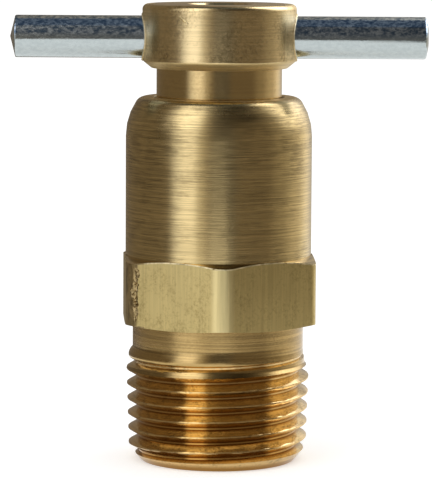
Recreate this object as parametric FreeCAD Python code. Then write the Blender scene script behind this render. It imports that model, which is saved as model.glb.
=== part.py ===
import FreeCAD, Part
import math
import os

# A drain cock with a tee bar, for a 3/8-18 taper pipe hole, drawn screwed shut.
# Millimetres, +Z up along the valve's axis, from the middle of the threaded end's face.
# It is turned from hexagon bar: pipe thread, relief, hexagon and barrel are one piece, and the
# barrel's lip is rolled in over the stem's thread, so the stem can be opened but not lost.

# Pipe thread, drawn as the taper over its crests
pipe_crest_dia = 16.67
pipe_taper = 1 / 16
pipe_end_depth = 1.075
pipe_end_angle = 39
pipe_full_length = 8.2
pipe_runout_length = 2.8
relief_depth = 0.56
relief_width = 2.1

# Hexagon of the drawn bar, with its rounded corners and the chamfers of the lathe
hex_step = 0.1
hex_corner_radius = 2.1
hex_height = 6.35
hex_turn = 3.4
hex_top_angle = 19
hex_under_angle = 12.5

# Barrel, its drawn-in shoulder and its rolled lip, whose edge takes at most a share of the draw-in
barrel_dia = 17.45
barrel_length = 14.8
shoulder_height = 3.65
lip_flat = 0.88
lip_edge_radius = 1.0
lip_edge_share = 0.6
lip_thickness = 0.95
lip_under_angle = 30

# Water way of the body
inlet_dia = 7.0
inlet_edge = 0.4
seat_land = 0.7
seat_height = 0.8
chamber_depth = 19.65

# Stem: neck, screw, head and drain
neck_dia = 11.74
neck_shown = 2.7
stem_shoulder = 0.83
stem_screw_pitch = 25.4 / 18
stem_screw_length = 8.0
stem_screw_edge = 0.4
open_turns = 1.75
head_height = 5.95
head_land = 0.5
head_under_width = 0.83
head_under_rise = 0.68
head_top_edge = 0.42
drain_dia = 5.6
drain_edge = 0.3
drain_web = 0.6
drill_point_angle = 118
port_dia = 3.0
port_rise = 0.4

# Seat disc, held in the stem's nose by a rolled rim, so that it need not turn with the stem
disc_cover = 0.3
disc_flange_width = 0.5
disc_flange_height = 1.0
disc_rim_thickness = 0.32
disc_shown = 0.7

# Tee bar, pressed through the head, with one end cut to a low point and one crowned
tee_dia = 3.97
tee_length = 39.1
tee_height = 2.85
tee_point = 0.5
tee_crown = 0.28

# Clearances
screw_clearance = 0.05
neck_clearance = 0.18
disc_clearance = 0.08
stop_clearance = 0.1

# Diameters that follow from the ones above, from the inside out
pipe_end_dia = pipe_crest_dia - 2 * pipe_end_depth
hex_across_flats = barrel_dia + 2 * hex_step
hex_across_corners = hex_across_flats / math.cos(math.radians(30))
seat_dia = inlet_dia + 2 * seat_land
disc_face_dia = seat_dia + 2 * disc_cover
disc_flange_dia = disc_face_dia + 2 * disc_flange_width
stem_screw_dia = neck_dia + 2 * stem_shoulder
head_land_dia = neck_dia + 2 * head_land
head_dia = head_land_dia + 2 * head_under_width
chamber_radius = stem_screw_dia / 2 + screw_clearance
lip_radius = neck_dia / 2 + neck_clearance

# Levels up the axis
hex_bottom = pipe_full_length + pipe_runout_length + relief_width
hex_top = hex_bottom + hex_height
lip_top = hex_top + barrel_length
head_bottom = lip_top + neck_shown
head_top = head_bottom + head_height
tee_level = head_bottom + tee_height
chamber_floor = lip_top - chamber_depth
seat_top = chamber_floor + seat_height
nose_bottom = seat_top + disc_shown
disc_flange_bottom = nose_bottom + disc_rim_thickness + disc_clearance
disc_top = disc_flange_bottom + disc_flange_height
lift = open_turns * stem_screw_pitch
lip_under_slope = math.tan(math.radians(lip_under_angle))


def at(radius, height):
    """A point of a turned outline, in the plane through the axis."""
    return FreeCAD.Vector(radius, 0, height)


def lathe(edges, axis=FreeCAD.Vector(0, 0, 1)):
    """The solid that a closed outline sweeps in one turn about the axis."""
    face = Part.Face(Part.Wire(edges))
    turned = face.revolve(FreeCAD.Vector(0, 0, 0), axis, 360)
    return Part.makeSolid(turned.Shells[0])


def lines(points):
    """Straight edges through a run of points."""
    return [Part.LineSegment(a, b).toShape() for a, b in zip(points, points[1:])]


def arc(centre, radius, from_angle, to_angle):
    """An arc of a turned outline; angles are in degrees up from the radial direction."""
    angles = (from_angle, (from_angle + to_angle) / 2, to_angle)
    spots = []
    for angle in angles:
        turn = math.radians(angle)
        spots.append(centre + at(radius * math.cos(turn), radius * math.sin(turn)))
    return Part.Arc(*spots).toShape()


def drilled(dia, start, end):
    """A straight hole from one point to another."""
    way = end - start
    return Part.makeCylinder(dia / 2, way.Length, start, way)


def pipe_crest_radius(height):
    """The taper's radius over the thread crests at a height above the end face."""
    return (pipe_crest_dia + pipe_taper * height) / 2


def lip_under_level(radius):
    """Height of the lip's sloping underside at a radius."""
    return lip_top - lip_thickness - (radius - lip_radius) * lip_under_slope


def body_outside():
    """The turned outline of the body, before the bar's flats are taken into account."""
    end_slope = math.tan(math.radians(pipe_end_angle))
    end_rise = pipe_end_depth / (end_slope - pipe_taper / 2)
    relief_radius = pipe_crest_radius(pipe_full_length) - relief_depth
    hex_corner_depth = (hex_across_corners - hex_across_flats) / 2
    under_rise = hex_corner_depth * math.tan(math.radians(hex_under_angle))
    top_drop = hex_corner_depth * math.tan(math.radians(hex_top_angle))
    shank = [
        at(0, lip_top),
        at(0, 0),
        at(pipe_end_dia / 2, 0),
        at(pipe_crest_radius(end_rise), end_rise),
        at(pipe_crest_radius(pipe_full_length), pipe_full_length),
        at(relief_radius, pipe_full_length + pipe_runout_length),
        at(relief_radius, hex_bottom),
        at(hex_across_flats / 2, hex_bottom),
        at(hex_across_corners / 2, hex_bottom + under_rise),
        at(hex_across_corners / 2, hex_top - top_drop),
        at(hex_across_flats / 2, hex_top),
        at(barrel_dia / 2, hex_top),
    ]
    # The shoulder's arc leaves the barrel straight up and runs smoothly into the lip's rounded edge
    flat_radius = lip_radius + lip_flat
    draw_in = barrel_dia / 2 - flat_radius
    edge_radius = min(lip_edge_radius, lip_edge_share * draw_in)
    edge_centre = at(flat_radius, lip_top - edge_radius)
    shoulder_start = lip_top - shoulder_height
    rise = edge_centre.z - shoulder_start
    shoulder_radius = (draw_in ** 2 + rise ** 2 - edge_radius ** 2) / 2 / (draw_in - edge_radius)
    shoulder_turn = math.degrees(math.asin(rise / (shoulder_radius - edge_radius)))
    shoulder_centre = at(barrel_dia / 2 - shoulder_radius, shoulder_start)
    shoulder = arc(shoulder_centre, shoulder_radius, 0, shoulder_turn)
    edge = arc(edge_centre, edge_radius, shoulder_turn, 90)
    barrel = lines([shank[-1], at(barrel_dia / 2, shoulder_start)])
    top = lines([at(flat_radius, lip_top), shank[0]])
    return lathe(lines(shank) + barrel + [shoulder, edge] + top)


def hexagon_bar():
    """The drawn bar that the body is turned from, with a rounded corner near the front."""
    reach = hex_across_corners / 2
    corners = []
    for number in range(6):
        turn = math.radians(hex_turn - 90 + 60 * number)
        corners.append(FreeCAD.Vector(reach * math.cos(turn), reach * math.sin(turn), 0))
    section = Part.Face(Part.makePolygon(corners + corners[:1]))
    bar = section.extrude(FreeCAD.Vector(0, 0, lip_top))
    upright = [edge for edge in bar.Edges if edge.BoundBox.ZLength > hex_height]
    return bar.makeFillet(hex_corner_radius, upright)


def body_water_way():
    """Everything hollow in the body: inlet, raised seat, chamber and the lip's hole."""
    outline = [
        at(0, 0),
        at(inlet_dia / 2 + inlet_edge, 0),
        at(inlet_dia / 2, inlet_edge),
        at(inlet_dia / 2, seat_top),
        at(seat_dia / 2, seat_top),
        at(seat_dia / 2, chamber_floor),
        at(chamber_radius, chamber_floor),
        at(chamber_radius, lip_under_level(chamber_radius)),
        at(lip_radius, lip_under_level(lip_radius)),
        at(lip_radius, lip_top),
        at(0, lip_top),
        at(0, 0),
    ]
    return lathe(lines(outline))


def make_valve_body():
    return body_outside().common(hexagon_bar()).cut(body_water_way())


def stem_outside():
    """The stem from its nose up: spindle, screw, neck and the head that the bar goes through."""
    screw_radius = stem_screw_dia / 2
    neck_radius = neck_dia / 2
    screw_top = lip_under_level(screw_radius) - lift - stop_clearance
    screw_bottom = screw_top - stem_screw_length
    outline = [
        at(0, head_top),
        at(0, nose_bottom),
        at(neck_radius, nose_bottom),
        at(neck_radius, screw_bottom),
        at(screw_radius - stem_screw_edge, screw_bottom),
        at(screw_radius, screw_bottom + stem_screw_edge),
        at(screw_radius, screw_top),
        at(neck_radius, screw_top + (screw_radius - neck_radius) * lip_under_slope),
        at(neck_radius, head_bottom),
        at(head_land_dia / 2, head_bottom),
        at(head_dia / 2, head_bottom + head_under_rise),
        at(head_dia / 2, head_top - head_top_edge),
        at(head_dia / 2 - head_top_edge, head_top),
        at(0, head_top),
    ]
    return lathe(lines(outline))


def disc_socket():
    """The hollow in the stem's nose that holds the seat disc behind a rolled rim."""
    rim_radius = disc_face_dia / 2 + disc_clearance
    socket_radius = disc_flange_dia / 2 + disc_clearance
    rim_top = disc_flange_bottom - disc_clearance
    outline = [
        at(0, nose_bottom),
        at(rim_radius, nose_bottom),
        at(rim_radius, rim_top),
        at(socket_radius, rim_top),
        at(socket_radius, disc_top),
        at(0, disc_top),
        at(0, nose_bottom),
    ]
    return lathe(lines(outline))


def drain_way():
    """The blind drain drilled down the stem, and the cross port that lets water into it."""
    drain_radius = drain_dia / 2
    point_level = disc_top + drain_web
    full_level = point_level + drain_radius / math.tan(math.radians(drill_point_angle / 2))
    outline = [
        at(0, point_level),
        at(drain_radius, full_level),
        at(drain_radius, head_top - drain_edge),
        at(drain_radius + drain_edge, head_top),
        at(0, head_top),
        at(0, point_level),
    ]
    port_level = full_level + port_rise
    reach = FreeCAD.Vector(0, neck_dia, port_level)
    port = drilled(port_dia, FreeCAD.Vector(0, -neck_dia, port_level), reach)
    return lathe(lines(outline)).fuse(port)


def make_stem():
    reach = FreeCAD.Vector(head_dia, 0, tee_level)
    tee_hole = drilled(tee_dia, FreeCAD.Vector(-head_dia, 0, tee_level), reach)
    return stem_outside().cut(disc_socket()).cut(drain_way()).cut(tee_hole)


def make_seat_disc():
    outline = [
        at(0, seat_top),
        at(disc_face_dia / 2, seat_top),
        at(disc_face_dia / 2, disc_flange_bottom),
        at(disc_flange_dia / 2, disc_flange_bottom),
        at(disc_flange_dia / 2, disc_top),
        at(0, disc_top),
        at(0, seat_top),
    ]
    return lathe(lines(outline))


def make_tee_bar():
    """The bar lies along X; its outline is turned about its own length, then raised to the hole."""
    radius = tee_dia / 2
    half = tee_length / 2
    outline = [at(half, 0), at(-half, 0), at(tee_point - half, radius), at(half - tee_crown, radius)]
    crown_radius = (radius ** 2 + tee_crown ** 2) / 2 / tee_crown
    crown_turn = math.degrees(math.asin(radius / crown_radius))
    crown = arc(at(half - crown_radius, 0), crown_radius, crown_turn, 0)
    bar = lathe(lines(outline) + [crown], FreeCAD.Vector(1, 0, 0))
    bar.translate(FreeCAD.Vector(0, 0, tee_level))
    return bar


PIECES = {
    "valve_body": make_valve_body,
    "stem": make_stem,
    "seat_disc": make_seat_disc,
    "tee_bar": make_tee_bar,
}

os.makedirs("parts", exist_ok=True)
for name, make in PIECES.items():
    solid = make().Solids[0]
    solid.exportStep(f"parts/{name}.step")
    print(f"{name}: {solid.Volume:.1f} mm3, valid {solid.isValid()}")
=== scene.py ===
# %% [markdown]
# # Drain cock with a tee bar
# A small valve for the bottom of a tank. Its body is turned from hexagonal brass bar and ends in a taper
# pipe thread. A brass stem screws up and down in it, turned by a steel bar that is pressed through its head.
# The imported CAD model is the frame: it says where every piece is. This lesson dresses it with a cut
# thread, rounded edges, tool marks and the finishes of brass and zinc plate.

# %% Load the frame
import math
import random

import bpy
from mathutils import Matrix, Vector


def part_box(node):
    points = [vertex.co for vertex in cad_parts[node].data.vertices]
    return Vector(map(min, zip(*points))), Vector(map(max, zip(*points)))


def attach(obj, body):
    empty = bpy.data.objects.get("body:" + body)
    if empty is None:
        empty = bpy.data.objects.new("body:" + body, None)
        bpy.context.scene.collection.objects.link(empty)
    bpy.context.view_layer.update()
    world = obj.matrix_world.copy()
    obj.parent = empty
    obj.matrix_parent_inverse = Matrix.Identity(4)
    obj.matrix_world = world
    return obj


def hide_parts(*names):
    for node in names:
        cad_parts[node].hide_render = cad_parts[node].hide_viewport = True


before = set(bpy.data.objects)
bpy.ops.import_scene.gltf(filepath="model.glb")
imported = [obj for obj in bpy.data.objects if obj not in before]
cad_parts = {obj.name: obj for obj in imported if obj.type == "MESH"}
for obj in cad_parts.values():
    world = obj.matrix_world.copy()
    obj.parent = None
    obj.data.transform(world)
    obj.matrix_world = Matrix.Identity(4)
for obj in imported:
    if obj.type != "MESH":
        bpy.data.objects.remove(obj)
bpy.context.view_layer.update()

# %% [markdown]
# ## Units and sizes from the frame
# Blender's tools weld and bevel more safely on numbers near one than on hundredths, so the pieces are
# modelled in millimetres and scaled to metres at the end. The main sizes are read from the CAD nodes.

# %% Read the main sizes
MM = 0.001


def node_box(node):
    """Lowest and highest corner of a CAD node in millimetres."""
    low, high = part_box(node)
    return low / MM, high / MM


body_low, body_high = node_box("valve_body")
stem_low, stem_high = node_box("stem")
disc_low, disc_high = node_box("seat_disc")
bar_low, bar_high = node_box("tee_bar")
lip_top = body_high.z
head_top = stem_high.z
head_radius = stem_high.x
nose_bottom = stem_low.z
seat_top = disc_low.z
disc_top = disc_high.z
bar_half = bar_high.x
bar_radius = bar_high.y
bar_level = (bar_low.z + bar_high.z) / 2
print(f"lip {lip_top:.2f}, head {head_top:.2f} and radius {head_radius:.2f} mm")
print(f"bar {bar_half:.2f} to each side, radius {bar_radius:.3f} mm")

# %% [markdown]
# ## The camera
# The photograph is a plain product view: a long lens, close to level, so that the two ends of the bar look
# alike. A long lens is a narrow field of view, and its place follows from the object's scale in the picture.
# Setting the camera first means that every later step can be checked against the picture.

# %% Set the camera
IMAGE_HEIGHT = 478
SENSOR = 36
FOCAL_PIXELS = 3052
CAMERA_PLACE = Vector((-0.22, -285.3, 52.38)) * MM
CAMERA_PITCH = 6.31
CAMERA_ROLL = 0.33

bpy.ops.object.select_all(action="DESELECT")
bpy.ops.object.camera_add()
camera = bpy.context.object
camera.name = "product_camera"
camera.data.sensor_fit = "VERTICAL"
camera.data.sensor_height = SENSOR
camera.data.lens = FOCAL_PIXELS * SENSOR / IMAGE_HEIGHT
tilt = Matrix.Rotation(math.radians(90 - CAMERA_PITCH), 4, "X")
roll = Matrix.Rotation(math.radians(CAMERA_ROLL), 4, "Z")
camera.matrix_world = Matrix.Translation(CAMERA_PLACE) @ tilt @ roll
bpy.context.scene.camera = camera
print(f"camera: {camera.data.lens:.0f} mm lens")

# %% [markdown]
# ## Turning a piece
# Body, stem and bar all come off a lathe, so one helper makes them: it draws half of the section beside the
# axis and spins it once round. A corner of the section can be given a radius, because no real edge is
# perfectly sharp, and it is these small rounds that catch the light.

# %% Helpers for turned pieces
SIDES = 240
WELD = 0.0005
ARC_STEP = math.radians(12)


def take(piece):
    """Goes to object mode with only this piece selected and active."""
    if bpy.context.object and bpy.context.object.mode != "OBJECT":
        bpy.ops.object.mode_set(mode="OBJECT")
    bpy.ops.object.select_all(action="DESELECT")
    piece.select_set(True)
    bpy.context.view_layer.objects.active = piece


def arc(centre, radius, start, end):
    """Points of an arc in the section; angles are in degrees up from the radial direction."""
    first, last = math.radians(start), math.radians(end)
    steps = max(2, math.ceil(abs(last - first) / ARC_STEP))
    turns = [first + (last - first) * step / steps for step in range(steps + 1)]
    return [(centre[0] + radius * math.cos(turn), centre[1] + radius * math.sin(turn)) for turn in turns]


def rounded(corners):
    """An outline from corners (radius, height, edge radius), each edge radius drawn as an arc."""
    outline = []
    for index, (x, y, edge) in enumerate(corners):
        here = Vector((x, y))
        if edge == 0:
            outline.append((x, y))
            continue
        back = (Vector(corners[index - 1][:2]) - here).normalized()
        ahead = (Vector(corners[(index + 1) % len(corners)][:2]) - here).normalized()
        half = back.angle(ahead) / 2
        centre = here + (back + ahead).normalized() * edge / math.sin(half)
        first = (here + back * edge / math.tan(half) - centre).normalized()
        last = (here + ahead * edge / math.tan(half) - centre).normalized()
        steps = max(2, math.ceil((math.pi - 2 * half) / ARC_STEP))
        for step in range(steps + 1):
            spot = centre + first.slerp(last, step / steps) * edge
            outline.append((spot.x, spot.y))
    return outline


def turned(name, section, sides=SIDES):
    """A solid of revolution about Z: the closed section is drawn beside the axis and spun once round."""
    bpy.ops.object.select_all(action="DESELECT")
    bpy.ops.mesh.primitive_circle_add(vertices=len(section), radius=1)
    piece = bpy.context.object
    piece.name = name
    for vertex, (radius, height) in zip(piece.data.vertices, section):
        vertex.co = (radius, 0, height)
    bpy.ops.object.mode_set(mode="EDIT")
    bpy.ops.mesh.select_all(action="SELECT")
    bpy.ops.mesh.spin(steps=sides, angle=2 * math.pi, center=(0, 0, 0), axis=(0, 0, 1))
    bpy.ops.mesh.select_all(action="SELECT")
    bpy.ops.mesh.remove_doubles(threshold=WELD)
    bpy.ops.mesh.normals_make_consistent(inside=False)
    bpy.ops.object.mode_set(mode="OBJECT")
    print(f"{name}: section of {len(section)} points, {len(piece.data.polygons)} faces")
    return piece


def combine(piece, tool, operation):
    """Cuts, joins or intersects a piece with a tool, which is used up."""
    take(piece)
    step = piece.modifiers.new("combine", "BOOLEAN")
    step.object = tool
    step.operation = operation
    step.solver = "EXACT"
    bpy.ops.object.modifier_apply(modifier=step.name)
    bpy.data.objects.remove(tool)
    print(f"{piece.name}: {operation.lower()}, now {len(piece.data.polygons)} faces")


# %% [markdown]
# ## The body's turned section
# The section runs from the inlet hole, up the taper of the thread, the relief and the barrel, over the lip
# and back down through the chamber and the raised seat. The shoulder is one arc that leaves the barrel
# straight up and runs smoothly into the lip's rounded edge, as the rolling tool leaves it.

# %% Turn the body
PIPE_CREST_RADIUS = 16.67 / 2
PIPE_TAPER = 1 / 32
PIPE_END_RADIUS = 7.26
CHAMFER_RISE = 1.36
PIPE_FULL = 8.7
PIPE_FULL_EDGE = 0.3
RUNOUT_RADIUS = 8.22
RUNOUT_LEVEL = 9.3
RUNOUT_EDGE = 0.4
RELIEF_RADIUS = 8.03
RELIEF_BOTTOM = 10.6
HEX_BOTTOM = 13.1
HEX_TOP = 19.45
BARREL_RADIUS = 8.725
SHOULDER_START = lip_top - 3.65
LIP_RADIUS = 6.05
LIP_FLAT_RADIUS = 6.93
LIP_EDGE = 1.0
LIP_UNDER = 0.95
LIP_UNDER_ANGLE = 30
CHAMBER_RADIUS = 6.75
CHAMBER_FLOOR = lip_top - 19.65
SEAT_RADIUS = 4.2
INLET_RADIUS = 3.5
INLET_EDGE = 0.4
CORE_RADIUS = 8.4
CORE_RISE = 1.0
EDGE_BREAK = 0.12


def crest_radius(height):
    """Radius over the thread's crests, which taper 1 in 16 on the diameter."""
    return PIPE_CREST_RADIUS + PIPE_TAPER * height


shank = rounded([
    (INLET_RADIUS + INLET_EDGE, 0, 0),
    (PIPE_END_RADIUS, 0, EDGE_BREAK),
    (crest_radius(CHAMFER_RISE), CHAMFER_RISE, 0),
    (crest_radius(PIPE_FULL), PIPE_FULL, PIPE_FULL_EDGE),
    (RUNOUT_RADIUS, RUNOUT_LEVEL, RUNOUT_EDGE),
    (RELIEF_RADIUS, RELIEF_BOTTOM, 0),
    (RELIEF_RADIUS, HEX_BOTTOM + CORE_RISE, 0),
    (CORE_RADIUS, HEX_BOTTOM + 2 * CORE_RISE, 0),
    (CORE_RADIUS, HEX_TOP - CORE_RISE, 0),
    (BARREL_RADIUS, HEX_TOP - CORE_RISE / 2, 0),
])
# The shoulder's radius is the one at which its arc runs into the lip's edge arc without a kink.
draw_in = BARREL_RADIUS - LIP_FLAT_RADIUS
shoulder_rise = lip_top - LIP_EDGE - SHOULDER_START
shoulder_radius = (draw_in ** 2 + shoulder_rise ** 2 - LIP_EDGE ** 2) / 2 / (draw_in - LIP_EDGE)
shoulder_turn = math.degrees(math.asin(shoulder_rise / (shoulder_radius - LIP_EDGE)))
shoulder = arc((BARREL_RADIUS - shoulder_radius, SHOULDER_START), shoulder_radius, 0, shoulder_turn)
lip_edge = arc((LIP_FLAT_RADIUS, lip_top - LIP_EDGE), LIP_EDGE, shoulder_turn, 90)
lip_slope = math.tan(math.radians(LIP_UNDER_ANGLE))
lip_bottom = lip_top - LIP_UNDER
chamber_top = lip_bottom - (CHAMBER_RADIUS - LIP_RADIUS) * lip_slope
water_way = [
    (LIP_RADIUS + EDGE_BREAK, lip_top),
    (LIP_RADIUS, lip_top - EDGE_BREAK),
    (LIP_RADIUS, lip_bottom),
    (CHAMBER_RADIUS, chamber_top),
    (CHAMBER_RADIUS, CHAMBER_FLOOR),
    (SEAT_RADIUS, CHAMBER_FLOOR),
    (SEAT_RADIUS, seat_top),
    (INLET_RADIUS, seat_top),
    (INLET_RADIUS, INLET_EDGE),
]
body = turned("brass_body", shank + shoulder + lip_edge[1:] + water_way)

# %% [markdown]
# ## The ridge above the thread
# Above the last groove the die has pushed up a low ridge. It is highest on the left, climbs towards the
# right, as the thread does on the front, and is gone on the right. It could be a ring laid on the body, but
# it has no edge of its own, so it is drawn out of the turned surface, which first gets enough rings to bend.

# %% Raise the ridge above the thread
PITCH = 25.4 / 18
RIDGE_HEIGHT = 0.3
RIDGE_LEVEL = 10.05
RIDGE_HALF = 0.65
RIDGE_FADE = 1.5
RIDGE_RINGS = 15

bpy.ops.object.mode_set(mode="EDIT")
for ring in range(RIDGE_RINGS):
    level = RIDGE_LEVEL - RIDGE_HALF + (2 * RIDGE_HALF + PITCH / 2) * ring / (RIDGE_RINGS - 1)
    bpy.ops.mesh.select_all(action="SELECT")
    bpy.ops.mesh.bisect(plane_co=(0, 0, level), plane_no=(0, 0, 1))
bpy.ops.object.mode_set(mode="OBJECT")
for vertex in body.data.vertices:
    outward = Vector((vertex.co.x, vertex.co.y, 0))
    if outward.length > CHAMBER_RADIUS:
        outward.normalize()
        from_left = math.acos(max(-1, min(1, -outward.x)))
        level = RIDGE_LEVEL + PITCH * from_left / (2 * math.pi)
        swell = max(0, 1 - ((vertex.co.z - level) / RIDGE_HALF) ** 2)
        vertex.co += outward * RIDGE_HEIGHT * swell * (1 - from_left / math.pi) ** RIDGE_FADE
print(f"ridge: {RIDGE_HEIGHT} mm high on {RIDGE_RINGS} rings")

# %% [markdown]
# ## The hexagon
# The body is turned from drawn hexagon bar, and the hexagon is what is left of the bar. It could be drawn
# as a prism with bevelled ends, but on the real part the lathe cuts the end chamfers as cones, which
# leaves the curved edges that every nut has. So a ring with coned ends is intersected with the bar. The
# bar's corners are rounded from drawing, the two on the right less. A bevel with a square profile leaves
# the form as it is, and draws a narrow strip along each chamfer's edge. The upper strips get a bright
# finish that is partly wear and partly a painted highlight.

# %% Make the hexagon
HEX_APOTHEM = 8.825
HEX_TURN = 3.4
SIDE_HALF_ANGLE = 30
HEX_CORNER_RADIUS = 2.1
HEX_SHARP_RADIUS = 0.9
HEX_TOP_SLOPE = math.tan(math.radians(19))
HEX_UNDER_SLOPE = math.tan(math.radians(12.5))
HEX_LAND = 0.035
HEX_INSIDE = CHAMBER_RADIUS + 1
CORNER_STEPS = 10
EDGE_STRIP = 0.12
STRIP_ANGLE = 28

hex_reach = HEX_APOTHEM / math.cos(math.radians(SIDE_HALF_ANGLE))
hex_start = HEX_APOTHEM + HEX_LAND
hex_ring = turned("hexagon", [
    (HEX_INSIDE, HEX_BOTTOM),
    (hex_start, HEX_BOTTOM),
    (hex_reach, HEX_BOTTOM + (hex_reach - hex_start) * HEX_UNDER_SLOPE),
    (hex_reach, HEX_TOP - (hex_reach - hex_start) * HEX_TOP_SLOPE),
    (hex_start, HEX_TOP),
    (HEX_INSIDE, HEX_TOP),
])
bpy.ops.object.select_all(action="DESELECT")
bpy.ops.mesh.primitive_cylinder_add(
    vertices=6, radius=hex_reach, depth=2 * HEX_BOTTOM, location=(0, 0, HEX_TOP),
    rotation=(0, 0, math.radians(HEX_TURN)))
bar_stock = bpy.context.object
bpy.ops.object.transform_apply(location=True, rotation=True, scale=True)
bpy.ops.object.mode_set(mode="EDIT")
bpy.ops.mesh.select_mode(type="EDGE")
for radius, on_right in ((HEX_CORNER_RADIUS, False), (HEX_SHARP_RADIUS, True)):
    bpy.ops.mesh.select_all(action="DESELECT")
    bpy.ops.object.mode_set(mode="OBJECT")
    for edge in bar_stock.data.edges:
        start, end = (bar_stock.data.vertices[v].co for v in edge.vertices)
        is_this_side = (start.x > HEX_APOTHEM / 2) == on_right
        is_upright = abs(start.z - end.z) > HEX_BOTTOM
        edge.select = is_upright and is_this_side and start.xy.length > hex_reach - WELD
    bpy.ops.object.mode_set(mode="EDIT")
    bpy.ops.mesh.bevel(
        offset=radius * math.tan(math.radians(SIDE_HALF_ANGLE)), segments=CORNER_STEPS, offset_type="OFFSET")
bpy.ops.object.mode_set(mode="OBJECT")
combine(hex_ring, bar_stock, "INTERSECT")
take(hex_ring)
strips = hex_ring.modifiers.new("strips", "BEVEL")
strips.width = EDGE_STRIP
strips.segments = 2
strips.profile = 1
strips.use_clamp_overlap = False
strips.limit_method = "ANGLE"
strips.angle_limit = math.radians(STRIP_ANGLE)
bpy.ops.object.modifier_apply(modifier="strips")
print("hexagon with edge strips:", len(hex_ring.data.polygons), "faces")

# %% [markdown]
# ## A knocked corner
# The hexagon's left corner has been knocked: a row of ragged dents runs down beside it, widest halfway. A
# bump map would leave the corner's outline whole, so the dents are cut. Each is a sphere with its points
# pushed about at random. The spheres are joined first and cut in one go. A place round the part is given by
# its bearing: degrees from the front, with the right as plus.

# %% Dent the corner and join the hexagon to the body
DENT_COUNT = 12
DENT_BEARING = HEX_TURN - 2 * SIDE_HALF_ANGLE
DENT_OUT = 0.24
DENT_BOTTOM, DENT_TOP = 14.2, 18.5
DENT_SHIFT = 0.3
DENT_OFF_CORNER = (5, 7.5)
DENT_DRIFT = 2
DENT_WIDE, DENT_WIDER = 0.33, 0.17
DENT_TALL = (0.3, 0.6)
DENT_RAGGED = 0.14

chance = random.Random(7)


def at_bearing(bearing, reach, height):
    """The place at a bearing in degrees, a reach from the axis and a height."""
    turn = math.radians(bearing)
    place = Vector((math.sin(turn), -math.cos(turn), 0)) * reach
    place.z = height
    return place


def dent(place, size, ragged):
    """A ragged ball with a size along X, Y and Z."""
    bpy.ops.object.select_all(action="DESELECT")
    bpy.ops.mesh.primitive_ico_sphere_add(subdivisions=3, radius=1, location=place)
    ball = bpy.context.object
    ball.scale = size
    bpy.ops.object.transform_apply(location=False, rotation=True, scale=True)
    for vertex in ball.data.vertices:
        vertex.co *= 1 + chance.uniform(-ragged, ragged)
    bpy.ops.object.transform_apply(location=True, rotation=True, scale=True)
    return ball


dents = None
for number in range(DENT_COUNT):
    share = (number + chance.uniform(-DENT_SHIFT, DENT_SHIFT)) / (DENT_COUNT - 1)
    halfway = 1 - abs(2 * share - 1)
    off_corner = chance.uniform(*DENT_OFF_CORNER) - DENT_DRIFT * halfway
    reach = HEX_APOTHEM / math.cos(math.radians(SIDE_HALF_ANGLE - off_corner)) + DENT_OUT
    level = DENT_BOTTOM + (DENT_TOP - DENT_BOTTOM) * share
    place = at_bearing(DENT_BEARING + off_corner, reach, level)
    wide = DENT_WIDE + DENT_WIDER * halfway
    ball = dent(place, (wide, wide, chance.uniform(*DENT_TALL)), DENT_RAGGED)
    if dents:
        combine(dents, ball, "UNION")
    else:
        dents = ball
combine(hex_ring, dents, "DIFFERENCE")
combine(body, hex_ring, "UNION")

# %% [markdown]
# ## The pipe thread
# The thread is cut by a die: one V-shaped groove that winds round the taper. A bump map would leave the
# outline smooth, and the teeth show there most, so the groove is really cut. The V is wound with a Screw
# modifier, moved out with the taper and, at the top, out of the metal, as the die runs out. Its outer
# points are shaken a little, because a die tears the crests and their edges wander.

# %% Cut the thread
THREAD_DEPTH = 0.95
CREST_FLAT = 0.16
ROOT_FLAT = 0.14
CREST_ROUND = 0.07
CREST_HEIGHT = 0.86
STEPS_PER_TURN = 120
LEAD_TURNS = 3
THREAD_TURNS = 10
RUNOUT_START = 8.4
RUNOUT_TURNS = 5
CREST_TEAR = 0.025

flank = (PITCH - CREST_FLAT - ROOT_FLAT) / 2 / THREAD_DEPTH
crest_half = (PITCH - CREST_FLAT) / 2
half_groove = [
    (-THREAD_DEPTH, ROOT_FLAT / 2),
    (-CREST_ROUND, crest_half - CREST_ROUND * flank),
    (CREST_ROUND, crest_half + CREST_ROUND),
]
groove = half_groove + [(out, -up) for out, up in reversed(half_groove)]
groove_start = CREST_HEIGHT + PITCH / 2 - LEAD_TURNS * PITCH
bpy.ops.object.select_all(action="DESELECT")
bpy.ops.mesh.primitive_circle_add(vertices=len(groove), radius=1)
die = bpy.context.object
for vertex, (out, up) in zip(die.data.vertices, groove):
    vertex.co = (crest_radius(groove_start) + out, 0, groove_start + up)
screw = die.modifiers.new("screw", "SCREW")
screw.axis = "Z"
screw.screw_offset = PITCH
screw.steps = screw.render_steps = STEPS_PER_TURN
screw.iterations = THREAD_TURNS
screw.use_merge_vertices = False
bpy.ops.object.modifier_apply(modifier="screw")
torn = random.Random(3)
for vertex in die.data.vertices:
    climb = PITCH * (vertex.index // len(groove)) / STEPS_PER_TURN
    leaving = max(0, groove_start + climb - RUNOUT_START) / PITCH / RUNOUT_TURNS
    outward = Vector((vertex.co.x, vertex.co.y, 0)).normalized()
    vertex.co += outward * (climb * PIPE_TAPER + THREAD_DEPTH * leaving)
    if vertex.index % len(groove) not in (0, len(groove) - 1):
        vertex.co.z += torn.uniform(-CREST_TEAR, CREST_TEAR)
bpy.ops.object.mode_set(mode="EDIT")
bpy.ops.mesh.select_all(action="SELECT")
bpy.ops.mesh.fill_holes(sides=0)
bpy.ops.mesh.normals_make_consistent(inside=False)
bpy.ops.object.mode_set(mode="OBJECT")
combine(body, die, "DIFFERENCE")

# %% [markdown]
# ## The stem
# The stem is turned as well: nose, spindle, screw, neck and head. The drain is drilled down its middle, a
# cross port lets the water in, and the hole for the tee bar goes across the head. Only the head and part of
# the neck show, but the piece stands for the whole stem, so all of it is made.

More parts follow.
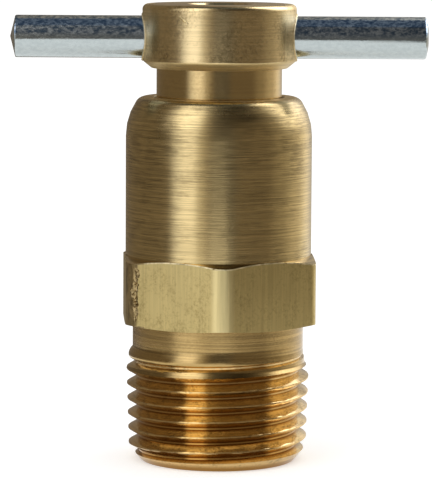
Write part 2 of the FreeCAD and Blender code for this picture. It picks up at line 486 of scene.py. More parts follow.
# %% Turn the stem and drill it
NECK_RADIUS = 5.87
OPEN_TURNS = 1.75
STOP_GAP = 0.1
SCREW_RADIUS = 6.7
SCREW_TOP = chamber_top + (CHAMBER_RADIUS - SCREW_RADIUS) * lip_slope - OPEN_TURNS * PITCH - STOP_GAP
SCREW_LENGTH = 8.0
SCREW_EDGE = 0.4
HEAD_BOTTOM = lip_top + 2.7
HEAD_LAND_RADIUS = 6.37
HEAD_LAND_EDGE = 0.15
HEAD_UNDER_RISE = 0.68
HEAD_UNDER_EDGE = 0.35
HEAD_EDGE = 0.5
DRAIN_RADIUS = 2.8
DRAIN_CHAMFER = 0.3
DRAIN_POINT = disc_top + 0.6
DRILL_TIP = 118
DRAIN_FULL = DRAIN_POINT + DRAIN_RADIUS / math.tan(math.radians(DRILL_TIP / 2))
PORT_RADIUS = 1.5
PORT_LEVEL = DRAIN_FULL + 0.4
RIM_RADIUS = 4.58
SOCKET_RADIUS = 5.08
RIM_TOP = nose_bottom + 0.32
HOLE_SIDES = 96

stem = turned("brass_stem", rounded([
    (0, disc_top, 0),
    (SOCKET_RADIUS, disc_top, 0),
    (SOCKET_RADIUS, RIM_TOP, 0),
    (RIM_RADIUS, RIM_TOP, 0),
    (RIM_RADIUS, nose_bottom, 0),
    (NECK_RADIUS, nose_bottom, EDGE_BREAK),
    (NECK_RADIUS, SCREW_TOP - SCREW_LENGTH, 0),
    (SCREW_RADIUS - SCREW_EDGE, SCREW_TOP - SCREW_LENGTH, 0),
    (SCREW_RADIUS, SCREW_TOP - SCREW_LENGTH + SCREW_EDGE, 0),
    (SCREW_RADIUS, SCREW_TOP, 0),
    (NECK_RADIUS, SCREW_TOP + (SCREW_RADIUS - NECK_RADIUS) * lip_slope, 0),
    (NECK_RADIUS, HEAD_BOTTOM, 0),
    (HEAD_LAND_RADIUS, HEAD_BOTTOM, HEAD_LAND_EDGE),
    (head_radius, HEAD_BOTTOM + HEAD_UNDER_RISE, HEAD_UNDER_EDGE),
    (head_radius, head_top, HEAD_EDGE),
    (DRAIN_RADIUS + DRAIN_CHAMFER, head_top, EDGE_BREAK),
    (DRAIN_RADIUS, head_top - DRAIN_CHAMFER, 0),
    (DRAIN_RADIUS, DRAIN_FULL, 0),
    (0, DRAIN_POINT, 0),
]))


def drill(radius, level, axis):
    """A long drill across the stem at a level, along X or Y."""
    quarter = math.pi / 2
    bpy.ops.object.select_all(action="DESELECT")
    bpy.ops.mesh.primitive_cylinder_add(
        vertices=HOLE_SIDES, radius=radius, depth=4 * head_radius, location=(0, 0, level),
        rotation=(0, quarter, 0) if axis == "X" else (quarter, 0, 0))
    bpy.ops.object.transform_apply(location=True, rotation=True, scale=True)
    return bpy.context.object


combine(stem, drill(PORT_RADIUS, PORT_LEVEL, "Y"), "DIFFERENCE")
combine(stem, drill(bar_radius, bar_level, "X"), "DIFFERENCE")

# %% [markdown]
# ## Burrs and a scratch
# Pressing the bar in has raised a bright burr round both mouths of its hole. A ring is laid round the hole
# and wrapped on the head's curve. A short slanting scratch marks the head at its upper left. It is cut with
# a thin ball that is laid along the head's curve.

# %% Burrs round the hole and a scratch
BURR_RADIUS = 0.13
BURR_SINK = BURR_RADIUS / 4
BURR_GAP = 0.01
BURR_SIDES = 12
SCRATCH_BEARING = -27
SCRATCH_LEVEL = 41.6
SCRATCH_SLANT = -55
SCRATCH_SIZE = (0.09, 0.1, 0.6)

for side in (-1, 1):
    bpy.ops.object.select_all(action="DESELECT")
    bpy.ops.mesh.primitive_torus_add(
        major_radius=bar_radius + BURR_RADIUS + BURR_GAP, minor_radius=BURR_RADIUS,
        major_segments=HOLE_SIDES, minor_segments=BURR_SIDES, rotation=(0, math.pi / 2, 0))
    mouth = bpy.context.object
    bpy.ops.object.transform_apply(location=True, rotation=True, scale=True)
    for vertex in mouth.data.vertices:
        vertex.co.x += side * (math.sqrt(head_radius ** 2 - vertex.co.y ** 2) - BURR_SINK)
        vertex.co.z += bar_level
    combine(stem, mouth, "UNION")
scratch_place = at_bearing(SCRATCH_BEARING, head_radius, SCRATCH_LEVEL)
bpy.ops.object.select_all(action="DESELECT")
bpy.ops.mesh.primitive_ico_sphere_add(
    subdivisions=3, radius=1, location=scratch_place,
    rotation=(0, math.radians(SCRATCH_SLANT), math.radians(SCRATCH_BEARING)))
scratch = bpy.context.object
scratch.scale = SCRATCH_SIZE
bpy.ops.object.transform_apply(location=True, rotation=True, scale=True)
combine(stem, scratch, "DIFFERENCE")

# %% [markdown]
# ## The tee bar
# The bar is a plain steel rod. One end was cropped to a low point and the other is slightly crowned. It is
# turned about Z like the rest and then laid along X.

# %% Turn the tee bar
BAR_POINT = 0.5
BAR_CROWN = 0.28
BAR_EDGE = 0.14
BAR_SIDES = 96

crown_radius = (bar_radius ** 2 + BAR_CROWN ** 2) / 2 / BAR_CROWN
crown_turn = math.degrees(math.asin((bar_radius - BAR_EDGE) / crown_radius))
crown = arc((0, bar_half - crown_radius), crown_radius, 90 - crown_turn, 90)
crown[-1] = (0, bar_half)
bar_ends = rounded([
    (0, -bar_half, 0),
    (bar_radius, BAR_POINT - bar_half, BAR_EDGE),
    (bar_radius, crown[0][1] - BAR_EDGE, 0),
])
tee_bar = turned("steel_tee_bar", bar_ends + crown, BAR_SIDES)
take(tee_bar)
tee_bar.matrix_world = Matrix.Translation((0, 0, bar_level)) @ Matrix.Rotation(math.pi / 2, 4, "Y")
bpy.ops.object.transform_apply(location=True, rotation=True, scale=True)
print("tee bar:", [[round(v, 2) for v in tee_bar.bound_box[corner]] for corner in (0, 6)])

# %% [markdown]
# ## Into the frame
# Each piece is scaled to metres, smoothed where its faces meet at a low angle, and given to the body that
# carries it, in place of the plain CAD node.

# %% Hand the pieces to the frame
SMOOTH = math.radians(33)


def hand_over(piece, cad_body, node):
    """Scales a piece to metres, sets its shading and lets it stand for its CAD node."""
    take(piece)
    piece.scale = (MM, MM, MM)
    bpy.ops.object.transform_apply(location=True, rotation=True, scale=True)
    bpy.ops.object.shade_smooth_by_angle(angle=SMOOTH)
    weighted = piece.modifiers.new("weighted", "WEIGHTED_NORMAL")
    weighted.keep_sharp = True
    bpy.ops.object.modifier_apply(modifier="weighted")
    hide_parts(node)
    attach(piece, cad_body)
    print(f"{piece.name}: {len(piece.data.polygons)} faces, stands for {node}")


hand_over(body, "body", "valve_body")
hand_over(stem, "handle", "stem")
hand_over(tee_bar, "handle", "tee_bar")

# %% [markdown]
# ## Material helpers
# A colour is written as the sRGB hex value that a paint program shows, and one function turns it to the
# linear numbers that the shader wants. One function adds a node, with its settings and its links.

# %% Colours and nodes


def linear(hex_colour):
    """Linear RGBA of an sRGB hex colour."""
    parts = [int(hex_colour[i:i + 2], 16) / 255 for i in (1, 3, 5)]
    return [c / 12.92 if c <= 0.04045 else ((c + 0.055) / 1.055) ** 2.4 for c in parts] + [1]


def add(tree, kind, inputs, **settings):
    """Adds a node with its settings; an input is a value or the socket that feeds it."""
    node = tree.nodes.new(kind)
    for name, value in settings.items():
        setattr(node, name, value)
    for key, value in inputs.items():
        if isinstance(value, bpy.types.NodeSocket):
            tree.links.new(value, node.inputs[key])
        else:
            node.inputs[key].default_value = value
    return node


def new_material(name):
    """An empty node material, its tree and its output node."""
    material = bpy.data.materials.new(name)
    material.use_nodes = True
    material.node_tree.nodes.clear()
    output = material.node_tree.nodes.new("ShaderNodeOutputMaterial")
    return material, material.node_tree, output


# %% [markdown]
# ## Brass finishes
# Every brass surface here has tool lines, brown stain from handling and small dark specks, but in other
# amounts. One function builds them all: the lines are noise that is stretched along the way of the tool,
# which both shades the metal and tilts its reflections, and the stain gathers in soft patches. Real turning
# marks are a few hundredths of a millimetre apart, and the picture has about ten pixels to the millimetre.
# So that they show, the lines are drawn 0.1 to 0.2 mm wide.

# %% A brass with tool lines and stain
LINE_HEIGHT = 0.02 * MM
LINE_NOISE = (0.36, 0.62)
PATCH_NOISE = (0.3, 0.7)
STAIN_NOISE = (0.24, 0.4)


def brass(name, base, stain, stain_share, stain_size, line_size, line_shade, line_bump, roughness, smear,
          speck_size=(0.26, 0.26, 0.26), tint=None, dulling=None):
    """Brass with lines, stains and specks, each with a size along X, Y and Z.

    Smear is how far the lines draw reflections out.

    A tint is a colour that comes in between two distances from the origin along the axes that it names. A
    dulling is two such distances and how far stain and roughness grow between them. All in millimetres.
    """
    material, tree, output = new_material(name)
    place = add(tree, "ShaderNodeTexCoord", {}).outputs["Object"]
    line_place = add(tree, "ShaderNodeMapping", {
        "Vector": place, "Scale": [1 / MM / size for size in line_size]}).outputs[0]
    lines = add(tree, "ShaderNodeTexNoise", {"Vector": line_place, "Scale": 1, "Detail": 3}).outputs[0]
    stain_place = add(tree, "ShaderNodeMapping", {
        "Vector": place, "Scale": [1 / MM / size for size in stain_size]}).outputs[0]
    patches = add(tree, "ShaderNodeTexNoise", {
        "Vector": stain_place, "Scale": 1, "Detail": 5, "Roughness": 0.65}).outputs[0]
    speck_place = add(tree, "ShaderNodeMapping", {
        "Vector": place, "Scale": [1 / MM / size for size in speck_size]}).outputs[0]
    specks = add(tree, "ShaderNodeTexNoise", {
        "Vector": speck_place, "Scale": 1, "Detail": 3, "Roughness": 0.7}).outputs[0]
    grain = add(tree, "ShaderNodeMath", {0: specks, 1: patches}, operation="MULTIPLY").outputs[0]

    def between(start, end, axes, gain_start, gain_end):
        """A value that goes from one gain to the other between two distances along some axes."""
        axes = [on / MM for on in axes]
        flat = add(tree, "ShaderNodeMapping", {"Vector": place, "Scale": axes}).outputs[0]
        reach = add(tree, "ShaderNodeVectorMath", {0: flat}, operation="LENGTH").outputs["Value"]
        return add(tree, "ShaderNodeMapRange", {
            "Value": reach, "From Min": start, "From Max": end,
            "To Min": gain_start, "To Max": gain_end}).outputs[0]

    if dulling:
        start, end, axes, stain_gain, rough_gain = dulling
        growth = between(start, end, axes, 1.0, stain_gain)
        grain = add(tree, "ShaderNodeMath", {0: grain, 1: growth}, operation="MULTIPLY").outputs[0]
    stained = add(tree, "ShaderNodeMapRange", {
        "Value": grain, "From Min": STAIN_NOISE[0], "From Max": STAIN_NOISE[1],
        "To Min": 0.0, "To Max": stain_share}).outputs[0]
    colour = add(tree, "ShaderNodeMix", {0: stained, 6: linear(base), 7: linear(stain)},
                 data_type="RGBA").outputs[2]
    if tint:
        tinted = between(*tint[1:], 0.0, 1.0)
        colour = add(tree, "ShaderNodeMix", {0: tinted, 6: colour, 7: linear(tint[0])},
                     data_type="RGBA").outputs[2]
    shade = add(tree, "ShaderNodeMapRange", {
        "Value": lines, "From Min": LINE_NOISE[0], "From Max": LINE_NOISE[1],
        "To Min": line_shade, "To Max": 1.0}).outputs[0]
    lined = add(tree, "ShaderNodeMix", {0: 1.0, 6: colour, 7: shade}, data_type="RGBA",
                blend_type="MULTIPLY").outputs[2]
    rough = add(tree, "ShaderNodeMapRange", {
        "Value": patches, "From Min": PATCH_NOISE[0], "From Max": PATCH_NOISE[1],
        "To Min": roughness[0], "To Max": roughness[1]}).outputs[0]
    if dulling:
        growth = between(start, end, axes, 1.0, rough_gain)
        rough = add(tree, "ShaderNodeMath", {0: rough, 1: growth}, operation="MULTIPLY").outputs[0]
    bump = add(tree, "ShaderNodeBump", {
        "Height": lines, "Strength": line_bump, "Distance": LINE_HEIGHT}).outputs[0]
    tangent = add(tree, "ShaderNodeTangent", {}, direction_type="RADIAL", axis="Z").outputs[0]
    shader = add(tree, "ShaderNodeBsdfPrincipled", {
        "Base Color": lined, "Metallic": 1.0, "Roughness": rough, "Normal": bump,
        "Anisotropic": smear, "Anisotropic Rotation": 0.25, "Tangent": tangent})
    tree.links.new(shader.outputs[0], output.inputs[0])
    return material


# %% [markdown]
# Barrel and head are finely turned: level lines, and reflections drawn out into upright bands. The neck,
# which runs in the lip, is smoother. The hexagon is the drawn bar's own skin: duller and paler, with faint
# upright streaks, lighter front and back corners as a painted highlight, one knocked corner, which is
# crushed and dirty, and upper edges that are bright partly from wear and partly as a painted highlight.
# The thread is fresh cut metal, where light bounces on between the flanks and comes out orange, and its
# roots are painted a deeper orange as painted shade. The relief above it is turned coarsely, and the
# rolled lip and the chamfer under the head are dull.

# %% Make the finishes
ROUND_AXIS = (1, 1, 0)
FRONT_AND_BACK = (0, 1, 0)
TO_THE_SIDES = (1, 0, 0)
UPWARD = (0, 0, 1)

# The barrel: level lines across bright upright bands, browner and duller towards the shoulder.
turned_brass = brass(
    "turned_brass", base="#dec58c", stain="#4a3616", stain_share=0.5, stain_size=(4, 4, 3),
    line_size=(9, 9, 0.1), line_shade=0.68, line_bump=0.2, roughness=(0.16, 0.24), smear=0.3,
    speck_size=(2.2, 2.2, 0.1), dulling=(25, 33, UPWARD, 1.2, 1.3))
# The head: softer lines, a bright burr and dull sides where the bar goes in.
head_brass = brass(
    "turned_head_brass", base="#e3cb97", stain="#6d5526", stain_share=0.5, stain_size=(3, 3, 4),
    line_size=(6, 6, 0.15), line_shade=0.84, line_bump=0.12, roughness=(0.2, 0.28), smear=0.3,
    tint=("#fff4d2", head_radius + 0.01, head_radius + 0.06, ROUND_AXIS),
    dulling=(6.0, 6.8, TO_THE_SIDES, 1.1, 2.4))
# The neck: smooth, with hardly any lines and one clear band.
neck_brass = brass(
    "ground_neck_brass", base="#cbb07a", stain="#6b5225", stain_share=0.2, stain_size=(3, 3, 2),
    line_size=(8, 8, 0.2), line_shade=0.92, line_bump=0.05, roughness=(0.13, 0.19), smear=0.2)
# The hexagon's flats: pale, even and satin, with faint upright streaks, and lighter front and back
# corners that are a painted highlight.
drawn_brass = brass(
    "drawn_brass", base="#cab57a", stain="#75612f", stain_share=0.4, stain_size=(1.4, 1.4, 2.4),
    line_size=(0.2, 0.2, 7), line_shade=0.87, line_bump=0.2, roughness=(0.28, 0.36), smear=0.0,
    tint=("#e6d49a", 9.5, 9.8, FRONT_AND_BACK))
# The knocked corner: rough, brown and blotched.
crushed_brass = brass(
    "crushed_brass", base="#b9a273", stain="#4a3417", stain_share=0.5, stain_size=(1.5, 1.5, 3),
    line_size=(0.4, 0.4, 1.5), line_shade=0.5, line_bump=0.2, roughness=(0.3, 0.45), smear=0.0)
# Worn edges and the scratch: a thin broken line of bare bright metal. On the hexagon's upper edges the
# brightness is also a painted highlight.
worn_and_highlight_brass = brass(
    "worn_edge_and_highlight_brass", base="#f6e5b6", stain="#8a7440", stain_share=0.9, stain_size=(0.7, 0.7, 0.7),
    line_size=(0.6, 0.6, 0.6), line_shade=0.6, line_bump=0.2, roughness=(0.3, 0.4), smear=0.0)
# The thread: glossy, and deeper orange towards the root as a painted shade of the grooves.
cut_brass = brass(
    "cut_brass", base="#e6c68a", stain="#4a3012", stain_share=0.5, stain_size=(1.2, 1.2, 0.5),
    line_size=(9, 9, 0.1), line_shade=0.8, line_bump=0.06, roughness=(0.1, 0.17), smear=0.4,
    tint=("#b48a4a", 7.8, 7.5, ROUND_AXIS))
# The relief: long coarse lines and a wide smeared gleam, duller above.
coarse_brass = brass(
    "coarse_turned_brass", base="#c3a56c", stain="#5f4520", stain_share=0.25, stain_size=(9, 9, 0.6),
    line_size=(20, 20, 0.16), line_shade=0.68, line_bump=0.3, roughness=(0.14, 0.2), smear=0.5,
    dulling=(10.4, 11, UPWARD, 1.0, 1.5))
# The lip's top and the chamfer under the head: matt, so that both stay one even tone.
dull_brass = brass(
    "dull_turned_brass", base="#d6bd86", stain="#6d5526", stain_share=0.3, stain_size=(3, 3, 1),
    line_size=(12, 12, 0.2), line_shade=0.8, line_bump=0.2, roughness=(0.42, 0.5), smear=0.3)
body_finishes = (turned_brass, drawn_brass, cut_brass, coarse_brass, crushed_brass, worn_and_highlight_brass, dull_brass)
stem_finishes = (head_brass, neck_brass, dull_brass, worn_and_highlight_brass)
print("brass finishes:", sorted({finish.name for finish in body_finishes + stem_finishes}))

# %% [markdown]
# ## Where each finish lies
# A face's finish follows from its height, its reach from the axis and the way it looks. On the hexagon the
# size of a face tells the narrow edge strips and the dents' small faces from the flats.

# %% Lay the finishes on body and stem
TURNED, DRAWN, CUT, COARSE, CRUSHED, WORN_AND_HIGHLIT, DULL = range(len(body_finishes))
NECK, STEM_DULL, SCRATCHED = 1, 2, 3
CORNER_HALF = 27
DENTED_HALF = 10
SMALL_AREA = 0.1
GROOVE_SKIN = 0.02
SCRATCH_SKIN = 0.01
LEVEL_FACE = 0.9
FLANK_FACE = 0.8
LOOKS_DOWN = -0.3

corner_reach = hex_reach - HEX_CORNER_RADIUS / math.cos(math.radians(SIDE_HALF_ANGLE))
corner_middle = at_bearing(DENT_BEARING, corner_reach, 0).xy
for finish in body_finishes:
    body.data.materials.append(finish)
for face in body.data.polygons:
    middle = face.center / MM
    reach = middle.xy.length
    if middle.z < HEX_BOTTOM - 2 * EDGE_STRIP and reach > INLET_RADIUS + INLET_EDGE:
        in_groove = reach < RELIEF_RADIUS - GROOVE_SKIN or abs(face.normal.z) > FLANK_FACE
        face.material_index = CUT if middle.z < PIPE_FULL or in_groove else COARSE
    elif HEX_BOTTOM < middle.z < HEX_TOP and reach > BARREL_RADIUS + HEX_LAND:
        on_round = (middle.xy - corner_middle).angle(corner_middle) < math.radians(CORNER_HALF)
        near_corner = middle.xy.angle(corner_middle) < math.radians(DENTED_HALF)
        is_small = face.area < SMALL_AREA * MM ** 2
        if abs(face.normal.z) > LEVEL_FACE:
            face.material_index = TURNED
        elif on_round or is_small and near_corner:
            face.material_index = CRUSHED
        else:
            # Only the upper edge strips get the bright finish, partly wear and partly a painted highlight of
            # light from above.
            face.material_index = WORN_AND_HIGHLIT if is_small and middle.z > (HEX_BOTTOM + HEX_TOP) / 2 else DRAWN
    elif middle.z > lip_top - EDGE_BREAK and face.normal.z > LEVEL_FACE:
        face.material_index = DULL
for finish in stem_finishes:
    stem.data.materials.append(finish)
for face in stem.data.polygons:
    middle = face.center / MM
    near_scratch = (middle - scratch_place).length < SCRATCH_SIZE[2]
    if middle.z < HEAD_BOTTOM:
        face.material_index = NECK
    elif near_scratch and middle.xy.length < head_radius - SCRATCH_SKIN:
        face.material_index = SCRATCHED
    elif face.normal.z < LOOKS_DOWN:
        face.material_index = STEM_DULL
for piece in (body, stem):
    used = [face.material_index for face in piece.data.polygons]
    print(piece.name, {finish.name: used.count(index) for index, finish in enumerate(piece.data.materials)})

# %% [markdown]
# ## Zinc plate and rubber
# The bar is steel with bright zinc plate: a cool grey mirror, slightly clouded. Its upper side is painted
# blue with darker blotches, a painted reflection of the dark above. The seat disc inside is moulded black
# rubber, matt, and it keeps its CAD shape.

# %% Make zinc plate and rubber
ZINC = "#b8c0be"
ZINC_PAINTED_SHADE = "#6f8cab"
ZINC_PAINTED_REFLECTION = "#e6f4ff"
CLOUD_SIZE = 0.3 * MM
CLOUD_STRETCH = (0.6, 1, 1)
CLOUD_HEIGHT = 0.03 * MM
UPPER_BLEND = 0.5
LOWER_PAINTED_REFLECTION = 0.1
RUBBER = "#1e1e20"
RUBBER_GRAIN = 0.15 * MM
GRAIN_HEIGHT = 0.02 * MM


def zinc_plate():
    """Bright zinc plate, a clouded mirror, clear below; the blotched blue above is a painted reflection."""
    material, tree, output = new_material("bright_zinc_plate")
    place = add(tree, "ShaderNodeTexCoord", {}).outputs["Object"]
    stretched = add(tree, "ShaderNodeMapping", {"Vector": place, "Scale": CLOUD_STRETCH}).outputs[0]
    clouds = add(tree, "ShaderNodeTexNoise", {
        "Vector": stretched, "Scale": 1 / CLOUD_SIZE, "Detail": 5, "Roughness": 0.7}).outputs[0]
    height = add(tree, "ShaderNodeSeparateXYZ", {0: place}).outputs[2]
    # The upper side is painted blue with darker blotches as a painted reflection of the dark above.
    upper = add(tree, "ShaderNodeMapRange", {
        "Value": height, "From Min": bar_level * MM, "From Max": (bar_level + UPPER_BLEND) * MM,
        "To Min": LOWER_PAINTED_REFLECTION}).outputs[0]
    blotches = add(tree, "ShaderNodeMapRange", {
        "Value": clouds, "From Min": 0.42, "From Max": 0.58}).outputs[0]
    blue = add(tree, "ShaderNodeMix", {0: blotches, 6: linear(ZINC_PAINTED_REFLECTION), 7: linear(ZINC_PAINTED_SHADE)},
               data_type="RGBA").outputs[2]
    colour = add(tree, "ShaderNodeMix", {0: upper, 6: linear(ZINC), 7: blue}, data_type="RGBA").outputs[2]
    rough = add(tree, "ShaderNodeMapRange", {
        "Value": clouds, "From Min": 0.35, "From Max": 0.55, "To Min": 0.2, "To Max": 0.1}).outputs[0]
    bump = add(tree, "ShaderNodeBump", {
        "Height": clouds, "Strength": 0.2, "Distance": CLOUD_HEIGHT}).outputs[0]
    shader = add(tree, "ShaderNodeBsdfPrincipled", {
        "Base Color": colour, "Metallic": 1.0, "Roughness": rough, "Normal": bump})
    tree.links.new(shader.outputs[0], output.inputs[0])
    return material


def seat_rubber():
    """Moulded rubber: black and matt with a fine grain, so that it shows no clear reflection."""
    material, tree, output = new_material("moulded_rubber")
    place = add(tree, "ShaderNodeTexCoord", {}).outputs["Object"]
    grain = add(tree, "ShaderNodeTexNoise", {"Vector": place, "Scale": 1 / RUBBER_GRAIN}).outputs[0]
    bump = add(tree, "ShaderNodeBump", {
        "Height": grain, "Strength": 0.2, "Distance": GRAIN_HEIGHT}).outputs[0]
    shader = add(tree, "ShaderNodeBsdfPrincipled", {
        "Base Color": linear(RUBBER), "Roughness": 0.75, "IOR": 1.52, "Normal": bump})
    tree.links.new(shader.outputs[0], output.inputs[0])
    return material


tee_bar.data.materials.append(zinc_plate())
seat_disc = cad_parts["seat_disc"]
seat_disc.data.materials.clear()
seat_disc.data.materials.append(seat_rubber())
print("finishes:", [m.name for m in bpy.data.materials])

# %% [markdown]
# ## The studio
# A pale floor, a white surround and soft lamps. Polished metal shows its surroundings, so, as in a product
# studio, a paper tent with white and dark panels stands round the part and puts the bands into its
# reflections. The tent is seen only by reflections, and it shades nothing.

# %% Floor and surround
FLOOR_SIZE = 8
FLOOR_WHITE = "#f4f4f4"
PAPER_LIFT = 0.33
PICTURE_LIFT = 0.08
SURROUND_LIGHT = 0.75
SURROUND_WHITE = 1.0

bpy.ops.object.select_all(action="DESELECT")
bpy.ops.mesh.primitive_plane_add(size=FLOOR_SIZE)
floor = bpy.context.object
floor.name = "floor"


def seen_directly(tree):
    """One for camera, glossy and transmission rays, and zero for the light that the surface scatters."""
    rays = add(tree, "ShaderNodeLightPath", {}).outputs
    either = add(tree, "ShaderNodeMath", {0: rays["Is Camera Ray"], 1: rays["Is Glossy Ray"]},
                 operation="MAXIMUM")
    return add(tree, "ShaderNodeMath", {0: either.outputs[0], 1: rays["Is Transmission Ray"]},
               operation="MAXIMUM").outputs[0]


material, tree, output = new_material("white_paper")
paper = add(tree, "ShaderNodeBsdfDiffuse", {"Color": linear(FLOOR_WHITE)})
lift = add(tree, "ShaderNodeMath", {0: seen_directly(tree), 1: PAPER_LIFT}, operation="MULTIPLY")
in_picture = add(tree, "ShaderNodeLightPath", {}).outputs["Is Camera Ray"]
whiter = add(tree, "ShaderNodeMath", {0: in_picture, 1: PICTURE_LIFT, 2: lift.outputs[0]},
             operation="MULTIPLY_ADD")
glow = add(tree, "ShaderNodeEmission", {"Strength": whiter.outputs[0]})
both = add(tree, "ShaderNodeAddShader", {0: paper.outputs[0], 1: glow.outputs[0]})
tree.links.new(both.outputs[0], output.inputs[0])
floor.data.materials.append(material)

world = bpy.data.worlds.new("white_surround")
world.use_nodes = True
world.node_tree.nodes.clear()
strength = add(world.node_tree, "ShaderNodeMapRange", {
    "Value": seen_directly(world.node_tree), "To Min": SURROUND_LIGHT, "To Max": SURROUND_WHITE})
surround = add(world.node_tree, "ShaderNodeBackground", {
    "Color": (1, 1, 1, 1), "Strength": strength.outputs[0]})
world_output = world.node_tree.nodes.new("ShaderNodeOutputWorld")
world.node_tree.links.new(surround.outputs[0], world_output.inputs[0])
bpy.context.scene.world = world
print(f"floor: {FLOOR_SIZE} m of white paper")

# %% [markdown]
# ## Panels of the tent
# The panels are given by their bearing: how far from the part the panel's foot stands and how bright it is.
# Between two entries both change smoothly, because a soft edge on a panel gives a soft edge to the band in
# the metal. Higher up, the paper is lit or dark in patches of its own, for the shoulder. A patch has a
# middle and half a width in degrees, a colour and a gain. The collar's panels have no foot, because the
# collar stands upright.

# %% Panels and paper walls
WALL_SIDES = 180
WARM_DARK = "#625a4f"
FRONT_DARK = "#545250"
BACK_GREY = "#6f665a"
KEY_WHITE = "#f4f6ff"
PANELS = [
    (-180, 60, BACK_GREY),
    (-150, 60, WARM_DARK),
    (-63, 60, WARM_DARK),
    (-47, 150, "#e0e3ec"),
    (-42, 200, KEY_WHITE),
    (-33, 200, KEY_WHITE),
    (-22, 150, "#a39f97"),
    (-12, 150, "#6e675e"),
    (-7, 195, FRONT_DARK),
    (7, 195, FRONT_DARK),
    (13, 110, FRONT_DARK),
    (26, 70, WARM_DARK),
    (58, 60, WARM_DARK),
    (80, 80, "#7f786c"),
    (108, 120, "#aaa499"),
    (134, 200, "#dad6cf"),
    (158, 150, "#a8a49d"),
    (180, 60, BACK_GREY),
]
HIGH_PATCHES = ((119, 38, KEY_WHITE, 2.5), (-49, 30, KEY_WHITE, 1.4), (36, 45, "#2e2a25", 1))
HIGH_START, HIGH_LEVEL = 40, 140
COLLAR_DARK = "#6b6258"
COLLAR_GREY = "#8a8276"
COLLAR_LIGHT = "#d8d4cc"
COLLAR_WHITE = "#f6f2ea"
COLLAR = [
    (-180, COLLAR_DARK),
    (-36, COLLAR_DARK),
    (-27, COLLAR_WHITE),
    (-17, COLLAR_WHITE),
    (-7, COLLAR_GREY),
    (6, COLLAR_DARK),
    (50, COLLAR_DARK),
    (64, COLLAR_LIGHT),
    (110, COLLAR_LIGHT),
    (140, COLLAR_GREY),
    (180, COLLAR_DARK),
]


def panel_at(panels, bearing):
    """Foot radius, if there is one, and colour at a bearing, blended smoothly between two entries."""
    for (start, *foot_a, hex_a), (end, *foot_b, hex_b) in zip(panels, panels[1:]):
        if start <= bearing <= end:
            share = (bearing - start) / (end - start)
            share = share * share * (3 - 2 * share)
            glow_a, glow_b = Vector(linear(hex_a)), Vector(linear(hex_b))
            foot = foot_a[0] + (foot_b[0] - foot_a[0]) * share if foot_a else None
            return foot, glow_a.lerp(glow_b, share)


def paper_wall(name, radius, height):
    """A round wall of paper that only reflections see, with a colour attribute for its panels."""
    bpy.ops.object.select_all(action="DESELECT")
    bpy.ops.mesh.primitive_cone_add(
        vertices=WALL_SIDES, radius1=radius * MM, radius2=radius * MM, depth=height * MM,
        end_fill_type="NOTHING", location=(0, 0, height * MM / 2))
    wall = bpy.context.object
    wall.name = name
    bpy.ops.object.transform_apply(location=True, rotation=True, scale=True)
    wall.visible_camera = False
    wall.visible_diffuse = False
    wall.visible_shadow = False
    wall.visible_transmission = False
    return wall


def bearing_of(vertex):
    """A point's bearing in degrees, from -180 to 180."""
    return math.degrees(math.atan2(vertex.co.x, -vertex.co.y))


print("panels:", len(PANELS), "on the tent,", len(COLLAR), "on the collar")

# %% [markdown]
# ## The tent
# A round wall of glowing paper leans in to its panels' feet. The nearer a foot stands to the part, the less
# white floor shows below that panel in the metal. A dark lid closes the tent, which keeps the lip and the
# head's top from turning white.

# %% Put up the tent
TENT_HEIGHT = 700
TENT_RADIUS = 330
TENT_LEAN = 320
TENT_RINGS = (40, 80, 160, 320)
PANEL_POWER = 1.6
LID_COLOUR = "#454b52"

material, tree, output = new_material("tent_paper")
panel = add(tree, "ShaderNodeAttribute", {}, attribute_name="panel")
spot = add(tree, "ShaderNodeSeparateXYZ", {0: add(tree, "ShaderNodeNewGeometry", {}).outputs["Position"]})
is_lid = add(tree, "ShaderNodeMath", {0: spot.outputs[2], 1: (TENT_HEIGHT - 1) * MM},
             operation="GREATER_THAN")
paint = add(tree, "ShaderNodeMix", {0: is_lid.outputs[0], 6: panel.outputs[0], 7: linear(LID_COLOUR)},
            data_type="RGBA")
tent_glow = add(tree, "ShaderNodeEmission", {"Color": paint.outputs[2], "Strength": PANEL_POWER})
tree.links.new(tent_glow.outputs[0], output.inputs[0])

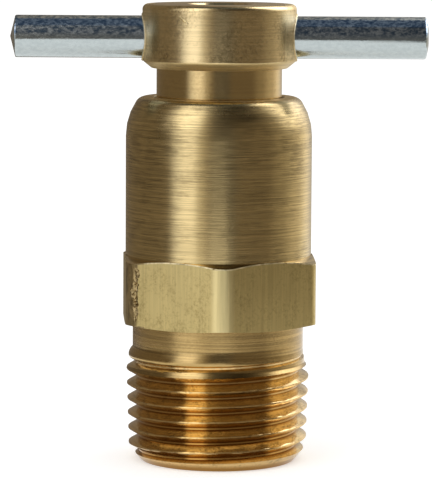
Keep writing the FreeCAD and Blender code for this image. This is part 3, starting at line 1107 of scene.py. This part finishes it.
tent = paper_wall("paper_tent", TENT_RADIUS, TENT_HEIGHT)
bpy.ops.object.mode_set(mode="EDIT")
bpy.ops.mesh.select_mode(type="EDGE")
bpy.ops.mesh.select_all(action="DESELECT")
bpy.ops.object.mode_set(mode="OBJECT")
for edge in tent.data.edges:
    edge.select = all(tent.data.vertices[v].co.z > TENT_HEIGHT * MM / 2 for v in edge.vertices)
bpy.ops.object.mode_set(mode="EDIT")
bpy.ops.mesh.edge_face_add()
for ring in TENT_RINGS:
    bpy.ops.mesh.select_all(action="SELECT")
    bpy.ops.mesh.bisect(plane_co=(0, 0, ring * MM), plane_no=(0, 0, 1))
bpy.ops.object.mode_set(mode="OBJECT")
colours = tent.data.color_attributes.new("panel", "FLOAT_COLOR", "POINT")
for vertex in tent.data.vertices:
    bearing = bearing_of(vertex)
    foot, glow = panel_at(PANELS, bearing)
    for middle, half_width, patch, gain in HIGH_PATCHES:
        if abs(bearing - middle) < half_width:
            side = math.cos((bearing - middle) / half_width * math.pi / 2)
            level = (vertex.co.z / MM - HIGH_START) / (HIGH_LEVEL - HIGH_START)
            glow = glow.lerp(Vector(linear(patch)) * gain, min(1, max(0, level)) * side)
    vertex.co.xy *= 1 + (foot / TENT_RADIUS - 1) * max(0, 1 - vertex.co.z / TENT_LEAN / MM)
    colours.data[vertex.index].color = glow
tent.data.materials.append(material)
print("tent:", len(tent.data.polygons), "faces")

# %% [markdown]
# ## The collar
# A low collar stands close round the thread, whose flanks would otherwise see only white floor.

# %% Put up the collar
COLLAR_RADIUS = 12
COLLAR_HEIGHT = 8

collar = paper_wall("paper_collar", COLLAR_RADIUS, COLLAR_HEIGHT)
colours = collar.data.color_attributes.new("panel", "FLOAT_COLOR", "POINT")
for vertex in collar.data.vertices:
    colours.data[vertex.index].color = panel_at(COLLAR, bearing_of(vertex))[1]
collar.data.materials.append(material)
print("collar:", len(collar.data.polygons), "faces")

# %% [markdown]
# ## The lamps
# One large soft lamp at the front left is the main light, and a weaker one at the back right fills the
# shadows. Both are wide, so their shadows are soft.

# %% Lamps


def lamp(name, bearing, height, distance, size, radiance):
    """A square soft lamp aimed at the part; at radiance 1 its face is as bright as the picture's white."""
    spot = at_bearing(bearing, distance, height)
    bpy.ops.object.light_add(type="AREA", location=spot)
    light = bpy.context.object
    light.name = name
    light.data.size = size
    light.data.energy = radiance * math.pi * size ** 2
    light.visible_glossy = False
    aim = Vector((0, 0, head_top * MM / 2)) - spot
    light.rotation_euler = aim.to_track_quat("-Z", "Y").to_euler()
    print(f"{name}: {light.data.energy:.2f} W")


lamp("key_lamp", bearing=-42, height=0.35, distance=0.7, size=0.5, radiance=1.4)
lamp("fill_lamp", bearing=125, height=0.35, distance=0.8, size=0.5, radiance=0.9)

# %% [markdown]
# ## Colours as they are
# The Standard view shows each colour as it was worked out.

bpy.context.scene.view_settings.view_transform = "Standard"
